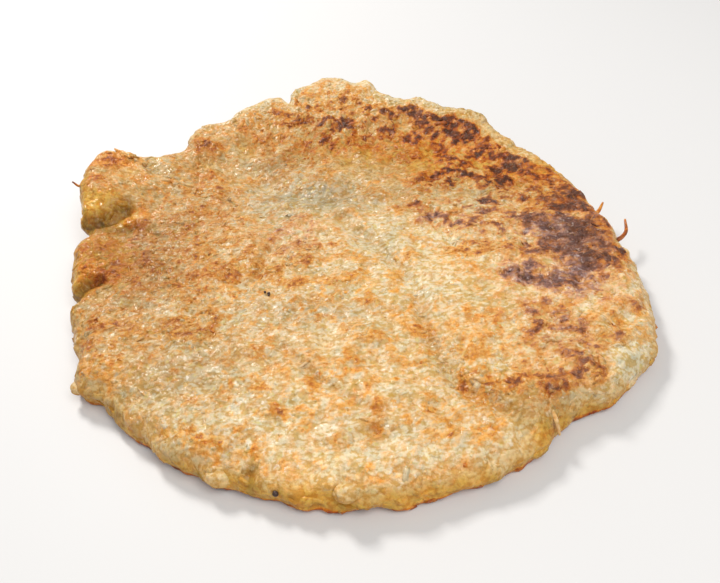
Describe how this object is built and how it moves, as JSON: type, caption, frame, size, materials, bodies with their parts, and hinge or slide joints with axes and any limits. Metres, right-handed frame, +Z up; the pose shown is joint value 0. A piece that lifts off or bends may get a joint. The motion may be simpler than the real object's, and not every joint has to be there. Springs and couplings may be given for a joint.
{
  "type": "potato pancake",
  "caption": "Large round pan-fried pancake of grated potato, uneven browned top with folds and loose strips, ragged edge, far side raised in a drape.",
  "frame": {"origin": "under the middle of the outline, in the plane of the flat underside", "axes": "+Z up out of the browned top; +Y away from the near edge, towards the raised far edge; +X to the right"},
  "size_m": [0.2134, 0.224, 0.0236],
  "materials": {
    "crust": "fried potato, pale and moist with golden to dark brown crust, oily"
  },
  "bodies": {
    "root": {"pancake": "crust"}
  },
  "joints": []
}
